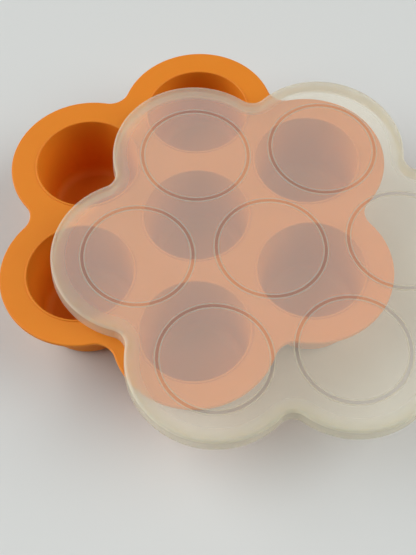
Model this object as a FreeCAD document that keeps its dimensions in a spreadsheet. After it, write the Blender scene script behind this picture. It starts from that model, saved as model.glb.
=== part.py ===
import FreeCAD, Part

import math
import os

import Sketcher

# A freezer tray for portions of baby food: a soft tray with seven cups in a flower-shaped deck, and a
# soft lid of the same outline that lies askew on it. Millimetres and degrees, +Z up. The origin is the
# middle of the base of the middle cup, and +Y points at one of the outer cups.

SIZES = (
    ("pitch", 66.0, "from the middle of a cup to the middle of its neighbour"),
    ("mouth_radius", 26.6, "inside of a cup at its mouth"),
    ("cup_depth", 42.0, "from the deck's top to the base of the cups"),
    ("cup_draft", 3.9, "slope of the cup's wall from upright"),
    ("cup_wall", 1.8, "thickness of the cup's wall"),
    ("cup_floor", 2.0, "thickness of the cup's floor"),
    ("cup_corner", 7.0, "outer rounding between wall and floor"),
    ("root_fillet", 2.0, "hollow rounding between wall and deck"),
    ("lip_width", 1.2, "half-round lip on each mouth"),
    ("lobe_radius", 40.4, "the deck's edge round each outer cup"),
    ("notch_radius", 10.0, "hollow rounding between two lobes"),
    ("deck_thickness", 2.2, "the flat deck between the cups"),
    ("deck_edge", 0.7, "rounding of the deck's edge"),
    ("rim_clearance", 0.35, "between the deck's edge and the lid's skirt"),
    ("plate_thickness", 2.0, "the lid's flat plate"),
    ("skirt_wall", 1.6, "thickness of the lid's skirt"),
    ("skirt_height", 8.9, "the lid's whole height"),
    ("skirt_draft", 2.5, "slope of the skirt from upright"),
    ("lid_edge", 1.7, "outer rounding of the lid's top edge"),
    ("skirt_fillet", 0.8, "hollow rounding inside the skirt"),
    ("skirt_lip", 0.5, "rounding of the skirt's bottom edge"),
    ("channel_clearance", 0.2, "between a cup's lip and the channel over it"),
    ("lid_right", 37.0, "how far the lid lies to the right of the tray"),
    ("lid_front", 22.7, "how far the lid lies in front of the tray"),
    ("lid_turn", 5.1, "turn of the lid about the upright"),
    ("seat_gap", 0.15, "left free under the lid where it rests"),
)
LOBES = 6
STEP = 360.0 / LOBES
UP = FreeCAD.Vector(0, 0, 1)
LEVEL = 1e-4

doc = FreeCAD.newDocument("FreezerTray")
sheet = doc.addObject("Spreadsheet::Sheet", "Sizes")
for row, (alias, number, note) in enumerate(SIZES, start=1):
    sheet.set(f"A{row}", alias)
    sheet.set(f"B{row}", str(number))
    sheet.setAlias(f"B{row}", alias)
    sheet.set(f"C{row}", note)
doc.recompute()


def value(expression):
    return float(sheet.evalExpression(expression))


def new_body(label):
    body = doc.addObject("PartDesign::Body", label)
    body.Label = label
    return body


def origin_feature(body, role):
    return next(item for item in body.Origin.OriginFeatures if item.Role == role)


def new_sketch(body, name, role, **offset):
    """A sketch on one of the body's own planes, moved along the plane's axes by expressions."""
    sketch = body.newObject("Sketcher::SketchObject", name)
    sketch.AttachmentSupport = [(origin_feature(body, role), "")]
    sketch.MapMode = "FlatFace"
    for axis, expression in offset.items():
        sketch.setExpression(f".AttachmentOffset.Base.{axis}", expression)
    return sketch


def bind(sketch, name, expression, kind, *items):
    """A dimension of the sketch that follows the sheet."""
    start = value(expression)
    if kind == "Angle":
        start = math.radians(start)
    index = sketch.addConstraint(Sketcher.Constraint(kind, *items, start))
    sketch.renameConstraint(index, name)
    sketch.setExpression(f"Constraints.{name}", expression)


def join(sketch, *rules):
    for rule in rules:
        sketch.addConstraint(Sketcher.Constraint(*rule))


def polar(angle, radius):
    turn = math.radians(angle)
    return FreeCAD.Vector(radius * math.cos(turn), radius * math.sin(turn), 0)


def arc(centre, radius, start, end):
    """An arc that runs counter-clockwise from one angle to another."""
    circle = Part.Circle(centre, UP, radius)
    return Part.ArcOfCircle(circle, math.radians(start), math.radians(end))


def flower(pitch, lobe, notch):
    """The arcs of a six-lobed outline: centre, radius, first and last angle of each, lobes first."""
    apothem = pitch * math.cos(math.radians(STEP / 2))
    half_side = pitch * math.sin(math.radians(STEP / 2))
    reach = apothem + math.sqrt((lobe + notch) ** 2 - half_side**2)
    lean = math.degrees(math.asin(half_side / (lobe + notch)))
    sweep = STEP / 2 + lean
    lobes = []
    notches = []
    for index in range(LOBES):
        ahead = STEP * index
        between = ahead + STEP / 2
        lobes.append((polar(ahead, pitch), lobe, ahead - sweep, ahead + sweep))
        notches.append((polar(between, reach), notch, between + 180 - lean, between + 180 + lean))
    return lobes + notches


def flower_sketch(body, name, height, lobe, notch, hole=None):
    """Six lobes on spokes from the middle, joined by hollow arcs, with or without seven round holes."""
    sketch = new_sketch(body, name, "XY_Plane", z=height)
    curves = flower(value("Sizes.pitch"), value(lobe), value(notch))
    for centre, radius, start, end in curves:
        sketch.addGeometry(arc(centre, radius, start, end), False)
    spokes = []
    for index in range(LOBES):
        spoke = Part.LineSegment(FreeCAD.Vector(), curves[index][0])
        spokes.append(sketch.addGeometry(spoke, True))
    for index, spoke in enumerate(spokes):
        join(sketch, ("Coincident", spoke, 1, -1, 1), ("Coincident", index, 3, spoke, 2))
        after = (index + 1) % LOBES
        notch_arc = LOBES + index
        join(sketch, ("Tangent", index, 2, notch_arc, 2), ("Tangent", notch_arc, 1, after, 1))
        if index:
            join(sketch, ("Equal", spokes[0], spoke), ("Equal", 0, index), ("Equal", LOBES, notch_arc))
            join(sketch, ("Angle", spokes[index - 1], 1, spoke, 1, math.radians(STEP)))
    join(sketch, ("Horizontal", spokes[0]))
    bind(sketch, "pitch", "Sizes.pitch", "Distance", spokes[0])
    bind(sketch, "lobe", lobe, "Radius", 0)
    bind(sketch, "notch", notch, "Radius", LOBES)
    if hole:
        centres = [(-1, 1)] + [(spoke, 2) for spoke in spokes]
        middles = [FreeCAD.Vector()] + [curve[0] for curve in curves[:LOBES]]
        rounds = [sketch.addGeometry(Part.Circle(point, UP, value(hole)), False) for point in middles]
        for circle, (geometry, end) in zip(rounds, centres):
            join(sketch, ("Coincident", circle, 3, geometry, end))
            if circle != rounds[0]:
                join(sketch, ("Equal", rounds[0], circle))
        bind(sketch, "hole", hole, "Radius", rounds[0])
    return sketch


def cup_sketch(body, name, offset):
    """Half the section of a cup's wall, floor and lip, beside the cup's own upright axis."""
    sketch = new_sketch(body, name, "XZ_Plane", x=offset)
    top = value("Sizes.cup_depth")
    mouth = value("Sizes.mouth_radius")
    wall = value("Sizes.cup_wall")
    corner = value("Sizes.cup_corner")
    root = value("Sizes.root_fillet")
    floor = value("Sizes.cup_floor")
    deck = value("Sizes.deck_thickness")
    lip = value("Sizes.lip_width / 2")
    draft = value("Sizes.cup_draft")
    slope = math.tan(math.radians(draft))
    skew = math.cos(math.radians(draft))

    def inside(height):
        return mouth - (top - height) * slope

    def outside(height):
        return inside(height) + wall / skew

    outer_centre = FreeCAD.Vector(outside(corner) - corner / skew, corner, 0)
    root_centre = FreeCAD.Vector(outside(top - deck - root) + root / skew, top - deck - root, 0)
    lip_centre = FreeCAD.Vector(mouth + lip, top, 0)
    inner = corner - wall
    inner_centre = FreeCAD.Vector(inside(floor + inner) - inner / skew, floor + inner, 0)
    outer_corner = arc(outer_centre, corner, 270, 360 - draft)
    root_arc = arc(root_centre, root, 90, 180 - draft)
    lip_arc = arc(lip_centre, lip, 0, 180)
    inner_corner = arc(inner_centre, inner, 270, 360 - draft)
    shoulder = FreeCAD.Vector(root_centre.x, top, 0)
    corners = (
        (FreeCAD.Vector(), outer_corner.StartPoint),
        (outer_corner.EndPoint, root_arc.EndPoint),
        (root_arc.StartPoint, shoulder),
        (shoulder, lip_arc.StartPoint),
        (lip_arc.EndPoint, inner_corner.EndPoint),
        (inner_corner.StartPoint, FreeCAD.Vector(0, floor, 0)),
        (FreeCAD.Vector(0, floor, 0), FreeCAD.Vector()),
    )
    lines = [sketch.addGeometry(Part.LineSegment(*pair), False) for pair in corners]
    base, outer, step, rest, inner_wall, floor_top, axis = lines
    bottom, hollow, crest, pocket = [
        sketch.addGeometry(curve, False) for curve in (outer_corner, root_arc, lip_arc, inner_corner)
    ]
    join(
        sketch,
        ("Coincident", base, 1, -1, 1),
        ("Horizontal", base),
        ("Tangent", base, 2, bottom, 1),
        ("Tangent", bottom, 2, outer, 1),
        ("Tangent", outer, 2, hollow, 2),
        ("Coincident", hollow, 1, step, 1),
        ("Vertical", hollow, 3, hollow, 1),
        ("Vertical", step),
        ("Coincident", step, 2, rest, 1),
        ("Horizontal", rest),
        ("Coincident", rest, 2, crest, 1),
        ("Horizontal", crest, 1, crest, 3),
        ("Horizontal", crest, 3, crest, 2),
        ("Coincident", crest, 2, inner_wall, 1),
        ("Parallel", inner_wall, outer),
        ("Tangent", inner_wall, 2, pocket, 2),
        ("Tangent", pocket, 1, floor_top, 1),
        ("Horizontal", floor_top),
        ("Coincident", floor_top, 2, axis, 1),
        ("Coincident", axis, 2, base, 1),
        ("Vertical", axis),
    )
    bind(sketch, "slope", "90 - Sizes.cup_draft", "Angle", outer)
    bind(sketch, "depth", "Sizes.cup_depth", "DistanceY", -1, 1, crest, 2)
    bind(sketch, "mouth", "Sizes.mouth_radius", "DistanceX", -1, 1, crest, 2)
    bind(sketch, "wall", "Sizes.cup_wall", "Distance", crest, 2, outer)
    bind(sketch, "floor", "Sizes.cup_floor", "DistanceY", -1, 1, axis, 1)
    bind(sketch, "deck", "Sizes.deck_thickness", "Distance", step)
    bind(sketch, "corner", "Sizes.cup_corner", "Radius", bottom)
    bind(sketch, "inner_corner", "Sizes.cup_corner - Sizes.cup_wall", "Radius", pocket)
    bind(sketch, "root", "Sizes.root_fillet", "Radius", hollow)
    bind(sketch, "lip", "Sizes.lip_width / 2", "Radius", crest)
    return sketch


def revolve(body, kind, name, sketch):
    feature = body.newObject(f"PartDesign::{kind}", name)
    feature.Profile = sketch
    feature.ReferenceAxis = (sketch, ["V_Axis"])
    feature.Angle = 360
    doc.recompute()
    return feature


def repeat_round(body, name, feature):
    """Six copies of a feature round the body's upright axis."""
    pattern = body.newObject("PartDesign::PolarPattern", name)
    pattern.Originals = [feature]
    pattern.Axis = (origin_feature(body, "Z_Axis"), [""])
    pattern.Angle = 360
    pattern.Occurrences = LOBES
    body.Tip = pattern
    doc.recompute()
    return pattern


def outline_edges(feature, height):
    """The names of the open arcs that lie flat at one height; a hole's edge is a closed circle."""
    named = []
    for index, edge in enumerate(feature.Shape.Edges, start=1):
        box = edge.BoundBox
        flat = abs(box.ZMin - height) < LEVEL and abs(box.ZMax - height) < LEVEL
        if flat and len(edge.Vertexes) == 2:
            named.append(f"Edge{index}")
    return named


def fillet(body, name, feature, edges, radius):
    rounding = body.newObject("PartDesign::Fillet", name)
    rounding.Base = (feature, edges)
    rounding.setExpression("Radius", radius)
    doc.recompute()
    return rounding


# The tray: one moulding. A deck with seven holes, its edge rounded, and a turned cup in each hole.
DECK_TOP = "Sizes.cup_depth"
DECK_UNDER = "Sizes.cup_depth - Sizes.deck_thickness"

tray = new_body("tray")
deck = tray.newObject("PartDesign::Pad", "Deck")
deck.Profile = flower_sketch(
    tray,
    "DeckOutline",
    DECK_UNDER,
    "Sizes.lobe_radius",
    "Sizes.notch_radius",
    "Sizes.mouth_radius + Sizes.cup_wall / 2",
)
deck.setExpression("Length", "Sizes.deck_thickness")
doc.recompute()
edges = outline_edges(deck, value(DECK_TOP)) + outline_edges(deck, value(DECK_UNDER))
fillet(tray, "DeckEdge", deck, edges, "Sizes.deck_edge")
revolve(tray, "Revolution", "MiddleCup", cup_sketch(tray, "MiddleCupSection", "0"))
outer_cup = revolve(tray, "Revolution", "OuterCup", cup_sketch(tray, "OuterCupSection", "Sizes.pitch"))
repeat_round(tray, "OuterCups", outer_cup)

# The lid: one moulding. A plate with a skirt that leans outwards, hollow below, every edge rounded, and
# seven half-round channels in its underside that fit over the lips of the cups.
PLATE_UNDER = "Sizes.skirt_height - Sizes.plate_thickness"
SKIRT_INSIDE = "Sizes.lobe_radius + Sizes.rim_clearance"
NOTCH_INSIDE = "Sizes.notch_radius - Sizes.rim_clearance"
CHANNEL = "Sizes.lip_width / 2 + Sizes.channel_clearance"

lid = new_body("lid")
block = lid.newObject("PartDesign::Pad", "Block")
block.Profile = flower_sketch(
    lid,
    "LidOutline",
    "Sizes.skirt_height",
    f"{SKIRT_INSIDE} + Sizes.skirt_wall",
    f"{NOTCH_INSIDE} - Sizes.skirt_wall",
)
block.Reversed = True
block.setExpression("Length", "Sizes.skirt_height")
block.setExpression("TaperAngle", "Sizes.skirt_draft")
doc.recompute()
edges = outline_edges(block, value("Sizes.skirt_height"))
rounded = fillet(lid, "TopEdge", block, edges, "Sizes.lid_edge")
hollow = lid.newObject("PartDesign::Pocket", "Hollow")
hollow.Profile = flower_sketch(lid, "HollowOutline", PLATE_UNDER, SKIRT_INSIDE, NOTCH_INSIDE)
hollow.setExpression("Length", PLATE_UNDER)
hollow.setExpression("TaperAngle", "Sizes.skirt_draft")
doc.recompute()
inside = fillet(lid, "InnerCorner", hollow, outline_edges(hollow, value(PLATE_UNDER)), "Sizes.skirt_fillet")
fillet(lid, "SkirtLip", inside, outline_edges(inside, 0), "Sizes.skirt_lip")


def channel_sketch(body, name, offset):
    """The round section of a channel, its middle on the plate's underside, over the lip's middle."""
    sketch = new_sketch(body, name, "XZ_Plane", x=offset)
    across = "Sizes.mouth_radius + Sizes.lip_width / 2"
    centre = FreeCAD.Vector(value(across), value(PLATE_UNDER), 0)
    circle = sketch.addGeometry(Part.Circle(centre, UP, value(CHANNEL)), False)
    bind(sketch, "across", across, "DistanceX", -1, 1, circle, 3)
    bind(sketch, "level", PLATE_UNDER, "DistanceY", -1, 1, circle, 3)
    bind(sketch, "section", CHANNEL, "Radius", circle)
    return sketch


uncut = lid.Shape.Volume
revolve(lid, "Groove", "MiddleChannel", channel_sketch(lid, "MiddleChannelSection", "0"))
outer_channel = revolve(
    lid, "Groove", "OuterChannel", channel_sketch(lid, "OuterChannelSection", "Sizes.pitch")
)
repeat_round(lid, "OuterChannels", outer_channel)
channel_length = 2 * math.pi * value("Sizes.mouth_radius + Sizes.lip_width / 2") * (LOBES + 1)
channel_volume = channel_length * math.pi * value(CHANNEL) ** 2 / 2
CHANNEL_DOUBT = 0.01


# The lid lies askew on the tray: its skirt stands on the deck at one side, and its plate leans on the
# deck's edge at the other. Each place that can carry it is a point with the height it asks for.
SPACING = 1.0
LIP_POINTS = 90
FAR_PITCHES = 100
TOUCHING = 1e-6
LEANING_STEPS = 60
SETTLING_STEPS = 4
LID_MIDDLE = FreeCAD.Vector(value("Sizes.lid_right"), -value("Sizes.lid_front"), 0)
LID_TURN = FreeCAD.Rotation(UP, value("Sizes.lid_turn"))
TRAY_TURN = FreeCAD.Rotation(UP, STEP / 2)


def outline_points(lobe, notch):
    """Points along a flower outline, about a spacing apart."""
    points = []
    for centre, radius, start, end in flower(value("Sizes.pitch"), value(lobe), value(notch)):
        count = max(2, math.ceil(math.radians(end - start) * radius / SPACING))
        for index in range(count):
            points.append(centre + polar(start + (end - start) * index / count, radius))
    return points


def cup_middles():
    return [FreeCAD.Vector()] + [polar(STEP * index, value("Sizes.pitch")) for index in range(LOBES)]


def within_outline(point, lobe, notch):
    """Whether a point lies inside a flower outline: in a lobe, or in the web between lobes."""
    pitch = value("Sizes.pitch")
    curves = flower(pitch, value(lobe), value(notch))
    if any((point - curve[0]).Length < curve[1] for curve in curves[:LOBES]):
        return True
    reach = curves[LOBES][0].Length
    return point.Length < reach and all((point - curve[0]).Length > curve[1] for curve in curves[LOBES:])


def supports():
    """What can carry the lid: where, and how high the skirt's bottom would stand there."""
    leaning = value("Sizes.skirt_draft")
    drop = value(PLATE_UNDER)
    spread = drop * math.tan(math.radians(leaning))
    middle_wall = f"({spread} + Sizes.skirt_wall / 2)"
    deck_top = value(DECK_TOP)
    lip = value("Sizes.lip_width / 2")
    mouth = value("Sizes.mouth_radius")
    found = []
    for point in outline_points(f"{SKIRT_INSIDE} + {middle_wall}", f"{NOTCH_INSIDE} - {middle_wall}"):
        place = LID_TURN.multVec(point) + LID_MIDDLE
        on_tray = TRAY_TURN.inverted().multVec(place)
        if not within_outline(on_tray, "Sizes.lobe_radius", "Sizes.notch_radius"):
            continue
        nearest = min((on_tray - cup).Length for cup in cup_middles())
        if nearest > mouth + 2 * lip:
            found.append((place, deck_top))
        elif nearest > mouth:
            found.append((place, deck_top + lip))
    edge_points = [(point, deck_top) for point in outline_points("Sizes.lobe_radius", "Sizes.notch_radius")]
    rounds = [polar(360 * index / LIP_POINTS, mouth + lip) for index in range(LIP_POINTS)]
    lip_points = [(cup + step, deck_top + lip) for cup in cup_middles() for step in rounds]
    for point, height in edge_points + lip_points:
        place = TRAY_TURN.multVec(point)
        on_lid = LID_TURN.inverted().multVec(place - LID_MIDDLE)
        if within_outline(on_lid, SKIRT_INSIDE, NOTCH_INSIDE):
            found.append((place, height - drop))
    return found


def surrounds(corners, point):
    """Whether three corners seen from above have the point between them."""
    sides = []
    for first, second in zip(corners, corners[1:] + corners[:1]):
        sides.append((second - first).cross(point - first).z)
    return min(sides) >= 0 or max(sides) <= 0


def resting_plane(carriers, middle):
    """The three carriers that a stiff plate rests on, and the plate's normal.

    It starts on three corners far below. Each time the carrier that stands highest over the plate takes
    the place of one corner, so that the three still stand round the plate's middle.
    """
    far = FAR_PITCHES * value("Sizes.pitch")
    corners = [middle + polar(angle, far) - UP * far for angle in (0, 120, 240)]
    raised = [FreeCAD.Vector(place.x, place.y, height) for place, height in carriers]
    for _ in range(LEANING_STEPS):
        normal = (corners[1] - corners[0]).cross(corners[2] - corners[0])
        normal = normal * (1 if normal.z > 0 else -1) * (1 / normal.Length)
        highest = max(raised, key=lambda point: (point - corners[0]).dot(normal))
        if (highest - corners[0]).dot(normal) < TOUCHING:
            return corners, normal
        flat = [FreeCAD.Vector(corner.x, corner.y, 0) for corner in corners]
        newcomer = FreeCAD.Vector(highest.x, highest.y, 0)
        for index in range(3):
            trial = flat[:index] + [newcomer] + flat[index + 1 :]
            if surrounds(trial, middle):
                corners[index] = highest
                break
    raise RuntimeError("the lid finds no three places to rest on")


def settle(middle, height, turn):
    """Lays the lid at a height and shifts it until the gap under it is the one asked for."""
    asked = value("Sizes.seat_gap")
    for _ in range(SETTLING_STEPS):
        lid.Placement = FreeCAD.Placement(middle + UP * height, turn)
        height += asked - lid.Shape.distToShape(tray.Shape)[0]


tray.Placement = FreeCAD.Placement(FreeCAD.Vector(), TRAY_TURN)
corners, normal = resting_plane(supports(), LID_MIDDLE)
fall = (corners[0] - LID_MIDDLE).dot(normal) / normal.z
settle(LID_MIDDLE, fall, FreeCAD.Rotation(UP, normal) * LID_TURN)
doc.recompute()

cut = uncut - lid.Shape.Volume
if abs(cut - channel_volume) > CHANNEL_DOUBT * channel_volume:
    raise RuntimeError(f"the channels cut {cut:.1f} mm3 and not {channel_volume:.1f}")
for item in doc.Objects:
    if "Invalid" in item.State or "Error" in item.State:
        raise RuntimeError(f"{item.Name} failed: {item.State}")

os.makedirs("parts", exist_ok=True)
for body in (tray, lid):
    shape = body.Shape
    if shape.isNull() or not shape.isValid() or len(shape.Solids) != 1:
        raise RuntimeError(f"{body.Label} isn't one valid solid")
    shape.exportStep(f"parts/{body.Label}.step")
    print(f"{body.Label}: {shape.Volume / 1000:.1f} cm3")
print(f"gap under the lid: {lid.Shape.distToShape(tray.Shape)[0]:.3f} mm")
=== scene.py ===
import math

import bmesh
import bpy
from mathutils import Matrix, Quaternion, Vector


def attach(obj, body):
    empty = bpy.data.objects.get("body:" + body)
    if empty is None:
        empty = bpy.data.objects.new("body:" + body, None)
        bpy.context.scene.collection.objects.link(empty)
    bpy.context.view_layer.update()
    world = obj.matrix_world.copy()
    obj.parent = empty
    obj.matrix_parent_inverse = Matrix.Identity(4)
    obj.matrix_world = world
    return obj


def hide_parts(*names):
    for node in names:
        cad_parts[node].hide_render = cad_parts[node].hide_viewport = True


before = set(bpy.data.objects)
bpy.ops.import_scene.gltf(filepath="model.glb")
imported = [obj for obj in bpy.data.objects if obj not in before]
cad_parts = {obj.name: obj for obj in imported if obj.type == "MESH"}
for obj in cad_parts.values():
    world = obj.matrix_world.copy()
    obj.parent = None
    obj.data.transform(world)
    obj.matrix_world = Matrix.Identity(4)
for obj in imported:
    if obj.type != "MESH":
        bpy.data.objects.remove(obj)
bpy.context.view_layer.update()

# The tray: one soft moulding of orange platinum-cured silicone. A flat deck with six lobes carries
# seven tapered cups, six round one in the middle, and each mouth has a fine half-round lip that seals
# in a channel of the lid. It stands on the flat bases of its cups.
MM = 0.001
UP = Vector((0, 0, 1))
LOBES = 6
STEP = math.tau / LOBES
PITCH = 66 * MM
MOUTH_RADIUS = 26.6 * MM
CUP_DEPTH = 42 * MM
CUP_DRAFT = math.radians(3.9)
CUP_WALL = 1.8 * MM
CUP_FLOOR = 2 * MM
CUP_CORNER = 7 * MM
ROOT_FILLET = 2 * MM
LIP_RADIUS = 0.6 * MM
LOBE_RADIUS = 40.4 * MM
NOTCH_RADIUS = 10 * MM
DECK_THICKNESS = 2.2 * MM
DECK_EDGE = 0.7 * MM
CUP_STEPS = 128  # steps are the parts that a turn, an arc or a wall is drawn in
LOBE_STEPS = 72
NOTCH_STEPS = 20
EDGE_STEPS = 5
LIP_STEPS = 8
WALL_STEPS = 8
INNER_CORNER_STEPS = 10
OUTER_CORNER_STEPS = 12
ROOT_STEPS = 6
FLOOR_RINGS = (0.75, 0.5, 0.25, 0)  # in shares of the flat floor's radius
SUPPORT = 0.12 * MM  # the flat band beside a rounded edge, which keeps its shading true
WELD = 0.001 * MM  # points nearer to each other than this are one
SHARP_ANGLE = math.radians(38)
CLOUD_WIDTH = 36 * MM
GRAIN_WIDTH = 0.7 * MM
SILICONE_IOR = 1.41
MIX_SHARE, MIX_A, MIX_B, MIXED = 0, 6, 7, 2  # the colour sockets of a Mix node


def polar(angle, radius, height=0.0):
    """A point at an angle round the upright axis, a radius and a height."""
    return Vector((radius * math.cos(angle), radius * math.sin(angle), height))


def flower_loop(bm, grow, height):
    """A closed loop of edges: an arc spun round each lobe, and one spun back round each hollow."""
    lobe = LOBE_RADIUS + grow
    notch = NOTCH_RADIUS - grow
    half_side = PITCH * math.sin(STEP / 2)
    reach = PITCH * math.cos(STEP / 2) + math.sqrt((lobe + notch) ** 2 - half_side**2)
    lean = math.asin(half_side / (lobe + notch))
    sweep = STEP / 2 + lean
    known = set(bm.edges)
    first = bm.verts.new(polar(0, PITCH, height) + polar(-sweep, lobe))
    tip = first
    for index in range(LOBES):
        ahead = index * STEP
        centres = (polar(ahead, PITCH, height), polar(ahead + STEP / 2, reach, height))
        turns = ((2 * sweep, LOBE_STEPS), (-2 * lean, NOTCH_STEPS))
        for centre, (angle, steps) in zip(centres, turns):
            spun = bmesh.ops.spin(bm, geom=[tip], cent=centre, axis=UP, angle=angle, steps=steps)
            tip = spun["geom_last"][0]
    bmesh.ops.weld_verts(bm, targetmap={tip: first})
    return [edge for edge in bm.edges if edge not in known]


def arc_points(centre, radius, start, end, steps):
    """Points on an arc of a section, angles from the outward direction, in radians."""
    angles = [start + (end - start) * index / steps for index in range(steps + 1)]
    return [(centre[0] + radius * math.cos(a), centre[1] + radius * math.sin(a)) for a in angles]


def add_rounds(bm, *sections):
    """Spins sections a full turn, closes their seams and poles, and adds them at all seven middles."""
    turned = bmesh.new()
    for points in sections:
        verts = [turned.verts.new((across, 0, height)) for across, height in points]
        edges = [turned.edges.new(pair) for pair in zip(verts, verts[1:])]
        bmesh.ops.spin(
            turned, geom=edges + verts, cent=Vector(), axis=UP, angle=math.tau, steps=CUP_STEPS,
            use_merge=True,
        )
    bmesh.ops.remove_doubles(turned, verts=turned.verts, dist=WELD)
    pattern = turned.verts[:] + turned.edges[:] + turned.faces[:]
    for index in range(LOBES):
        copied = bmesh.ops.duplicate(turned, geom=pattern)["geom"]
        verts = [item for item in copied if isinstance(item, bmesh.types.BMVert)]
        bmesh.ops.translate(turned, verts=verts, vec=polar(index * STEP, PITCH))
    mesh = bpy.data.meshes.new("rounds")
    turned.to_mesh(mesh)
    turned.free()
    bm.from_mesh(mesh)
    bpy.data.meshes.remove(mesh)


def round_edges(bm, edges, radius, steps):
    """Rounds edges to a radius."""
    bmesh.ops.bevel(
        bm, geom=edges, offset=radius, offset_type="OFFSET", segments=steps, profile=0.5,
        affect="EDGES", material=-1, clamp_overlap=True,
    )


def flat_caps(bm):
    """The outline's two large flats, the only faces with more than four corners."""
    return [face for face in bm.faces if len(face.verts) > 4]


def inset_caps(bm, width):
    """Adds a flat band of a width inside the outline, on both caps."""
    bmesh.ops.inset_region(bm, faces=flat_caps(bm), thickness=width, use_even_offset=True)


def fill_flats(bm, *heights):
    """Fills what is open at each height, between the outline and the rounds."""
    for height in heights:
        rims = [
            edge
            for edge in bm.edges
            if len(edge.link_faces) < 2
            and all(abs(vert.co.z - height) < WELD for vert in edge.verts)
        ]
        bmesh.ops.triangle_fill(bm, edges=rims, use_beauty=True)


def finish_mesh(bm, name, place):
    """Turns the faces outwards, moves the mesh to its place and makes it a smooth object."""
    bmesh.ops.remove_doubles(bm, verts=bm.verts, dist=WELD)
    bmesh.ops.recalc_face_normals(bm, faces=bm.faces)
    bmesh.ops.transform(bm, matrix=place, verts=bm.verts)
    for face in bm.faces:
        face.smooth = True
    for edge in bm.edges:
        edge.smooth = edge.calc_face_angle(0) < SHARP_ANGLE
    mesh = bpy.data.meshes.new(name)
    bm.to_mesh(mesh)
    bm.free()
    piece = bpy.data.objects.new(name, mesh)
    bpy.context.scene.collection.objects.link(piece)
    return piece


def cup_inside(height):
    """The radius of the inside of a cup's tapered wall at a height."""
    return MOUTH_RADIUS - (CUP_DEPTH - height) * math.tan(CUP_DRAFT)


def cup_outside(height):
    """The radius of that wall's outside, with the wall measured square to the taper."""
    return cup_inside(height) + CUP_WALL / math.cos(CUP_DRAFT)


def cup_inner_section():
    """From the lip's foot on the deck over the lip and down the wall to the middle of the floor."""
    corner = CUP_CORNER - CUP_WALL
    level = CUP_FLOOR + corner
    centre = (cup_inside(level) - corner / math.cos(CUP_DRAFT), level)
    lip = arc_points((MOUTH_RADIUS + LIP_RADIUS, CUP_DEPTH), LIP_RADIUS, 0, math.pi, LIP_STEPS)
    bend = arc_points(centre, corner, -CUP_DRAFT, -math.pi / 2, INNER_CORNER_STEPS)
    fall = bend[0][1] - CUP_DEPTH
    heights = [CUP_DEPTH + fall * index / WALL_STEPS for index in range(1, WALL_STEPS)]
    wall = [(cup_inside(height), height) for height in heights]
    floor = [(centre[0] * share, CUP_FLOOR) for share in FLOOR_RINGS]
    return lip + wall + bend + floor


def cup_outer_section():
    """From the middle of the base up the outside of the wall to the hollow rounding under the deck."""
    centre = (cup_outside(CUP_CORNER) - CUP_CORNER / math.cos(CUP_DRAFT), CUP_CORNER)
    level = CUP_DEPTH - DECK_THICKNESS - ROOT_FILLET
    root = (cup_outside(level) + ROOT_FILLET / math.cos(CUP_DRAFT), level)
    base = [(centre[0] * share, 0) for share in reversed(FLOOR_RINGS)]
    bend = arc_points(centre, CUP_CORNER, -math.pi / 2, -CUP_DRAFT, OUTER_CORNER_STEPS)
    hollow = arc_points(root, ROOT_FILLET, math.pi - CUP_DRAFT, math.pi / 2, ROOT_STEPS)
    return base + bend + hollow


deck_under = CUP_DEPTH - DECK_THICKNESS
tray_mesh = bmesh.new()
outline = flower_loop(tray_mesh, 0, deck_under)
base_face = bmesh.ops.contextual_create(tray_mesh, geom=outline)["faces"][0]
raised = bmesh.ops.extrude_face_region(tray_mesh, geom=[base_face], use_keep_orig=True)["geom"]
raised_verts = [item for item in raised if isinstance(item, bmesh.types.BMVert)]
bmesh.ops.translate(tray_mesh, verts=raised_verts, vec=UP * DECK_THICKNESS)
rims = outline + [
    item for item in raised if isinstance(item, bmesh.types.BMEdge) and len(item.link_faces) == 2
]
round_edges(tray_mesh, rims, DECK_EDGE, EDGE_STEPS)
inset_caps(tray_mesh, SUPPORT)
bmesh.ops.delete(tray_mesh, geom=flat_caps(tray_mesh), context="FACES_ONLY")
add_rounds(tray_mesh, cup_inner_section(), cup_outer_section())
fill_flats(tray_mesh, CUP_DEPTH, deck_under)
tray = finish_mesh(tray_mesh, "tray_moulding", Matrix.Rotation(STEP / 2, 4, "Z"))


def linear(hex_colour):
    """An opaque linear colour from an sRGB one written in hexadecimal."""
    shares = [int(hex_colour[at : at + 2], 16) / 255 for at in (0, 2, 4)]
    parts = [s / 12.92 if s <= 0.04045 else ((s + 0.055) / 1.055) ** 2.4 for s in shares]
    return (*parts, 1.0)


def add_node(tree, kind, settings=None, links=None):
    """Adds a node, sets its inputs or its properties, and links other sockets into it."""
    node = tree.nodes.new(kind)
    for name, setting in (settings or {}).items():
        if isinstance(name, int) or name in node.inputs:
            node.inputs[name].default_value = setting
        else:
            setattr(node, name, setting)
    for name, source in (links or {}).items():
        tree.links.new(source, node.inputs[name])
    return node


def new_material(name):
    """A material for one finish, with its nodes still to come."""
    material = bpy.data.materials.new(name)
    material.use_nodes = True
    material.node_tree.nodes.clear()
    return material, material.node_tree


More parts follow.
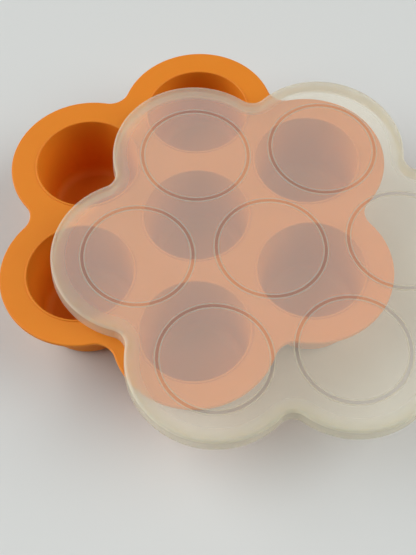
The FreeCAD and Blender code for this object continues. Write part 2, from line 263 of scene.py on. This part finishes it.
# Silicone from a satin-finished mould: one even orange, soft to the eye and almost without gloss, that
# light sinks a little way into at thin edges. The pigment clouds faintly. The mould's grain is far too
# fine to show, so it is drawn coarser.
material, tree = new_material("silicone_orange_satin_moulded")
place = add_node(tree, "ShaderNodeTexCoord").outputs["Object"]
cloudy = add_node(
    tree, "ShaderNodeTexNoise", {"Scale": 1 / CLOUD_WIDTH, "Detail": 3.0}, {"Vector": place}
)
grain = add_node(
    tree, "ShaderNodeTexNoise", {"Scale": 1 / GRAIN_WIDTH, "Detail": 2.0}, {"Vector": place}
)
colour = add_node(
    tree,
    "ShaderNodeMix",
    {"data_type": "RGBA", MIX_A: linear("DE8012"), MIX_B: linear("E3861C")},
    {MIX_SHARE: cloudy.outputs["Fac"]},
)
bump = add_node(
    tree,
    "ShaderNodeBump",
    {"Strength": 0.15, "Distance": 0.05 * MM},
    {"Height": grain.outputs["Fac"]},
)
shader = add_node(
    tree,
    "ShaderNodeBsdfPrincipled",
    {
        "Roughness": 0.6,
        "IOR": SILICONE_IOR,
        "Subsurface Weight": 0.2,
        "Subsurface Radius": (1.0, 0.35, 0.08),
        "Subsurface Scale": 2.5 * MM,
    },
    {"Base Color": colour.outputs[MIXED], "Normal": bump.outputs["Normal"]},
)
add_node(tree, "ShaderNodeOutputMaterial", {}, {"Surface": shader.outputs["BSDF"]})
tray.data.materials.append(material)
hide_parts("tray")
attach(tray, "tray")

# The lid: one soft moulding of uncoloured silicone, milky and see-through. A flat plate with a low skirt
# of the tray's outline, and seven half-round channels in its underside that fit over the lips of the
# cups. It isn't fastened: here it lies askew on the tray.
RIM_CLEARANCE = 0.35 * MM
PLATE_THICKNESS = 2 * MM
SKIRT_WALL = 1.6 * MM
SKIRT_HEIGHT = 8.9 * MM
SKIRT_SPREAD = math.tan(math.radians(2.5))
LID_EDGE = 1.7 * MM
SKIRT_FILLET = 0.8 * MM
SKIRT_LIP = 0.5 * MM
CHANNEL_RADIUS = LIP_RADIUS + 0.2 * MM
LID_TURN = math.radians(5.1)
CREST_STEPS = 8
FOOT_STEPS = 4
FILLET_STEPS = 5
CHANNEL_STEPS = 10
FACING_UP = 0.99  # the least that a face of the flat top points up
RIM_WIDTH = 6 * MM
LINE_WIDTH = 0.9 * MM
PLATE_MILK = 0.2  # milk is the share of the light that the skin turns back
RIM_MILK = 0.36
CREST_MILK = 0.7
SKIRT_MILK = 0.32
CHANNEL_MILK = 0.02
# painted highlight: the milky line beside each channel stands for the light that its edges bend and
# mirror
LINE_MILK_PAINTED_HIGHLIGHT = 0.7
MILK_CLOUD_WIDTH = 25 * MM
MILK_GRAIN_WIDTH = 1.1 * MM

plate_under = SKIRT_HEIGHT - PLATE_THICKNESS
lid_sections = (
    (RIM_CLEARANCE + SKIRT_WALL, SKIRT_HEIGHT),
    (RIM_CLEARANCE + SKIRT_WALL + SKIRT_HEIGHT * SKIRT_SPREAD, 0),
    (RIM_CLEARANCE + plate_under * SKIRT_SPREAD, SKIRT_WALL),
    (RIM_CLEARANCE, plate_under),
)
lid_rounds = (
    (LID_EDGE, CREST_STEPS),
    (SKIRT_LIP, FOOT_STEPS),
    (SKIRT_LIP, FOOT_STEPS),
    (SKIRT_FILLET, FILLET_STEPS),
)
lid_mesh = bmesh.new()
loops = [flower_loop(lid_mesh, grow, height) for grow, height in lid_sections]
for inner, outer in zip(loops, loops[1:]):
    bmesh.ops.bridge_loops(lid_mesh, edges=inner + outer)
# The foot's inner loop is a wall higher than its outer one until both are bridged, then level with it.
foot_verts = list({vert for edge in loops[2] for vert in edge.verts})
bmesh.ops.translate(lid_mesh, verts=foot_verts, vec=-UP * SKIRT_WALL)
for loop in (loops[0], loops[-1]):
    bmesh.ops.contextual_create(lid_mesh, geom=loop)
for loop, (radius, steps) in zip(loops, lid_rounds):
    round_edges(lid_mesh, loop, radius, steps)
inset_caps(lid_mesh, SUPPORT)
# Milk is kept point by point, and stands for the depth of silicone behind the skin. The crest over the
# skirt has the most, and from there it thins out over the rim to the plate.
milk = lid_mesh.verts.layers.float.new("milk")
for vert in lid_mesh.verts:
    above_skirt = max(vert.co.z - SKIRT_HEIGHT + LID_EDGE, 0) / (LID_EDGE / 2)
    if above_skirt < 1:
        vert[milk] = SKIRT_MILK + (CREST_MILK - SKIRT_MILK) * above_skirt
    else:
        vert[milk] = CREST_MILK + (RIM_MILK - CREST_MILK) * (above_skirt - 1)
inset_caps(lid_mesh, RIM_WIDTH)
caps = flat_caps(lid_mesh)
for vert in {vert for face in caps for vert in face.verts}:
    vert[milk] = PLATE_MILK
bmesh.ops.delete(lid_mesh, geom=caps, context="FACES_ONLY")
lip_middle = (MOUTH_RADIUS + LIP_RADIUS, plate_under)
channel = arc_points(lip_middle, CHANNEL_RADIUS, 0, math.pi, CHANNEL_STEPS)
line_reach = CHANNEL_RADIUS + LINE_WIDTH
flat_ends = [(lip_middle[0] + reach, plate_under) for reach in (line_reach, -line_reach)]
add_rounds(lid_mesh, flat_ends[:1] + channel + flat_ends[1:])
fill_flats(lid_mesh, SKIRT_HEIGHT, plate_under)
# The rounds come without milk. A channel's thin roof is nearly clear. Along either side of it runs a
# fine milky line, which is a painted highlight for the light that the channel's edges bend and mirror.
# The layer is looked up again, as adding the rounds moves it.
milk = lid_mesh.verts.layers.float["milk"]
cup_middles = [Vector((0, 0))] + [polar(index * STEP, PITCH).xy for index in range(LOBES)]
for vert in [vert for vert in lid_mesh.verts if vert[milk] == 0]:
    near = min((vert.co.xy - middle).length for middle in cup_middles)
    if vert.co.z > plate_under + WELD:
        vert[milk] = CHANNEL_MILK
    elif abs(near - lip_middle[0]) < CHANNEL_RADIUS + WELD:
        vert[milk] = LINE_MILK_PAINTED_HIGHLIGHT
    else:
        vert[milk] = PLATE_MILK
# The height and the lean are those of the flat top of the lid's node, and the turn is about its middle.
plate_faces = [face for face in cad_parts["lid"].data.polygons if face.normal.z > FACING_UP]
plate_area = sum(face.area for face in plate_faces)
plate_normal = sum((face.normal * face.area for face in plate_faces), Vector()).normalized()
plate_middle = sum((face.center * face.area for face in plate_faces), Vector()) / plate_area
lid_place = (
    Matrix.Translation(plate_middle - plate_normal * SKIRT_HEIGHT)
    @ UP.rotation_difference(plate_normal).to_matrix().to_4x4()
    @ Matrix.Rotation(LID_TURN, 4, "Z")
)
lid = finish_mesh(lid_mesh, "lid_moulding", lid_place)

# Uncoloured silicone from a smoother mould: cloudy like thin milk, with a soft gloss, and creamier where
# it is thick. It lets the light that it doesn't turn back straight through, a little tinted, and greyer
# over the channels, which is painted shade for the light that they bend away. Its grain is too fine to
# show as well, so it is drawn coarser.
material, tree = new_material("silicone_natural_milky")
place = add_node(tree, "ShaderNodeTexCoord").outputs["Object"]
grain = add_node(
    tree, "ShaderNodeTexNoise", {"Scale": 1 / MILK_GRAIN_WIDTH, "Detail": 2.0}, {"Vector": place}
)
bump = add_node(
    tree,
    "ShaderNodeBump",
    {"Strength": 0.1, "Distance": 0.04 * MM},
    {"Height": grain.outputs["Fac"]},
)
milkiness = add_node(tree, "ShaderNodeAttribute", {"attribute_name": "milk"}).outputs["Fac"]
cloudy = add_node(
    tree, "ShaderNodeTexNoise", {"Scale": 1 / MILK_CLOUD_WIDTH, "Detail": 3.0}, {"Vector": place}
)
plain = add_node(
    tree,
    "ShaderNodeMix",
    {"data_type": "RGBA", MIX_A: linear("F0EDDE"), MIX_B: linear("FAF7EA")},
    {MIX_SHARE: cloudy.outputs["Fac"]},
)
thick = add_node(
    tree, "ShaderNodeMapRange", {"From Min": PLATE_MILK, "From Max": RIM_MILK}, {"Value": milkiness}
)
depth = add_node(
    tree,
    "ShaderNodeMix",
    {"data_type": "RGBA", MIX_B: linear("DCD9C4")},
    {MIX_SHARE: thick.outputs["Result"], MIX_A: plain.outputs[MIXED]},
)
shader = add_node(
    tree,
    "ShaderNodeBsdfPrincipled",
    {
        "Roughness": 0.35,
        "IOR": SILICONE_IOR,
        "Subsurface Radius": (1.0, 0.9, 0.7),
        "Subsurface Scale": 3 * MM,
    },
    {
        "Base Color": depth.outputs[MIXED],
        "Normal": bump.outputs["Normal"],
        "Subsurface Weight": thick.outputs["Result"],
    },
)
# Where the milk is below the plate's, over the channels, the tint turns greyer: painted shade for the
# light that the channels bend away.
share = add_node(tree, "ShaderNodeMapRange", {"From Max": PLATE_MILK}, {"Value": milkiness})
tint_and_channel_shade = add_node(
    tree,
    "ShaderNodeMix",
    {"data_type": "RGBA", MIX_A: linear("F1EDF0"), MIX_B: linear("FFFDF8")},
    {MIX_SHARE: share.outputs["Result"]},
)
clear = add_node(tree, "ShaderNodeBsdfTransparent", {}, {"Color": tint_and_channel_shade.outputs[MIXED]})
mixed = add_node(
    tree,
    "ShaderNodeMixShader",
    {},
    {0: milkiness, 1: clear.outputs["BSDF"], 2: shader.outputs["BSDF"]},
)
add_node(tree, "ShaderNodeOutputMaterial", {}, {"Surface": mixed.outputs["Shader"]})
lid.data.materials.append(material)
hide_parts("lid")
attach(lid, "lid")

# The table top: a wide board for the tray to stand on, faced with pale laminate. It belongs to the
# setting, not to the object.
TABLE_REACH = 3.0
floor_mesh = bmesh.new()
bmesh.ops.create_grid(floor_mesh, x_segments=1, y_segments=1, size=TABLE_REACH)
mesh = bpy.data.meshes.new("table_top")
floor_mesh.to_mesh(mesh)
floor_mesh.free()
table_top = bpy.data.objects.new("table_top", mesh)
bpy.context.scene.collection.objects.link(table_top)
# Laminate pressed against a matt sheet: an even, cool, pale grey that mirrors nothing.
material, tree = new_material("pale_matt_laminate")
shader = add_node(
    tree, "ShaderNodeBsdfPrincipled", {"Base Color": linear("D6D9D7"), "Roughness": 0.6}
)
add_node(tree, "ShaderNodeOutputMaterial", {}, {"Surface": shader.outputs["BSDF"]})
table_top.data.materials.append(material)

# Soft daylight: a wide window on the left, a little behind, a weaker one on the right, and a dim room.
# What is seen behind the table, straight on or mirrored, is a pale backdrop.
ROOM_LEVEL = 0.08
BACKDROP_LEVEL = 0.66
WINDOWS = (  # name, degrees round from the right, degrees up, degrees across, strength
    ("window_left", 170, 37, 65, 2.67),
    ("window_right", 0, 35, 50, 1.85),
)
world = bpy.data.worlds.new("dim_room_pale_backdrop")
bpy.context.scene.world = world
world.use_nodes = True
tree = world.node_tree
tree.nodes.clear()
white = linear("FFFFFF")
dim = add_node(tree, "ShaderNodeBackground", {"Color": white, "Strength": ROOM_LEVEL})
pale = add_node(tree, "ShaderNodeBackground", {"Color": white, "Strength": BACKDROP_LEVEL})
rays = add_node(tree, "ShaderNodeLightPath").outputs
seen = rays["Is Camera Ray"]
for kind in ("Is Glossy Ray", "Is Transmission Ray"):
    either = add_node(tree, "ShaderNodeMath", {"operation": "MAXIMUM"}, {0: seen, 1: rays[kind]})
    seen = either.outputs["Value"]
backdrop = add_node(
    tree,
    "ShaderNodeMixShader",
    {},
    {0: seen, 1: dim.outputs["Background"], 2: pale.outputs["Background"]},
)
add_node(tree, "ShaderNodeOutputWorld", {}, {"Surface": backdrop.outputs["Shader"]})
for name, turn, rise, width, strength in WINDOWS:
    window = bpy.data.lights.new(name, "SUN")
    window.energy = strength
    window.angle = math.radians(width)
    lamp = bpy.data.objects.new(name, window)
    slope = math.radians(rise)
    towards = polar(math.radians(turn), math.cos(slope), math.sin(slope))
    lamp.rotation_euler = (-towards).to_track_quat("-Z", "Y").to_euler()
    bpy.context.scene.collection.objects.link(lamp)

# The camera stands in front of the tray, a little to the right, and looks down at a point between its
# middle and its front edge. It is held slightly rolled.
TARGET = Vector((6.07, -36.98, 42)) * MM
DISTANCE = 537.8 * MM
ELEVATION = math.radians(60.43)
AZIMUTH = math.radians(3.57)
ROLL = math.radians(-3.82)
SENSOR = 36.0
FOCAL_SHARE = 1.97060  # of the sensor's width
camera_data = bpy.data.cameras.new("camera")
camera_data.sensor_width = SENSOR
camera_data.lens = FOCAL_SHARE * SENSOR
camera = bpy.data.objects.new("camera", camera_data)
level = math.cos(ELEVATION)
back = Vector((math.sin(AZIMUTH) * level, -math.cos(AZIMUTH) * level, math.sin(ELEVATION)))
camera.location = TARGET + back * DISTANCE
camera.rotation_mode = "QUATERNION"
camera.rotation_quaternion = (-back).to_track_quat("-Z", "Y") @ Quaternion((0, 0, 1), ROLL)
bpy.context.scene.collection.objects.link(camera)
bpy.context.scene.camera = camera
bpy.context.scene.view_settings.view_transform = "Standard"
